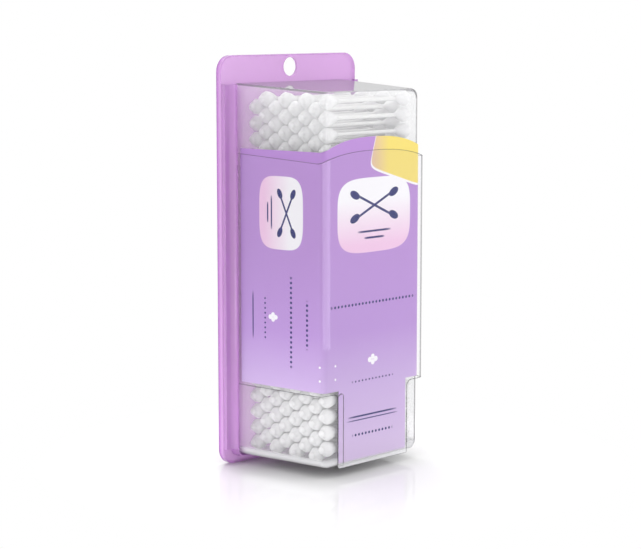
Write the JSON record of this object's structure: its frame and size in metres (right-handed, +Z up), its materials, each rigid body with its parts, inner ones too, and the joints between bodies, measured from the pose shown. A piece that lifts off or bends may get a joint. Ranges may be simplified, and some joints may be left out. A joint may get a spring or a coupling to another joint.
{
  "type": "cotton swab tub",
  "caption": "Hanging pack of cotton swabs: a clear tapered tub slides up out of a tinted back tray, inside a clear front cover over a printed card.",
  "frame": {"origin": "on the ground under the middle of the upright pack", "axes": "+Z up, +Y towards the rear of the tray, +X to the right as seen from the front"},
  "size_m": [0.1144, 0.0732, 0.2432],
  "materials": {
    "tinted_sheet": "gloss",
    "clear_sheet": "gloss",
    "lilac_card": "satin",
    "paper_stick": "matte",
    "cotton": "matte"
  },
  "bodies": {
    "holder": {"back_tray": "tinted_sheet", "display_cover": "clear_sheet", "printed_card": "lilac_card"},
    "tub": {"clear_tub": "clear_sheet", "sticks_column_1": "paper_stick", "left_buds_column_1": "cotton", "right_buds_column_1": "cotton", "sticks_column_2": "paper_stick", "left_buds_column_2": "cotton", "right_buds_column_2": "cotton", "sticks_column_3": "paper_stick", "left_buds_column_3": "cotton", "right_buds_column_3": "cotton", "sticks_column_4": "paper_stick", "left_buds_column_4": "cotton", "right_buds_column_4": "cotton", "sticks_column_5": "paper_stick", "left_buds_column_5": "cotton", "right_buds_column_5": "cotton", "sticks_column_6": "paper_stick", "left_buds_column_6": "cotton", "right_buds_column_6": "cotton", "sticks_column_7": "paper_stick", "left_buds_column_7": "cotton", "right_buds_column_7": "cotton", "sticks_column_8": "paper_stick", "left_buds_column_8": "cotton", "right_buds_column_8": "cotton"}
  },
  "joints": [
    {"name": "tub_slide", "type": "slide", "parent": "holder", "child": "tub", "axis": [0, 0, 1], "range_m": [0, 0.09]}
  ]
}
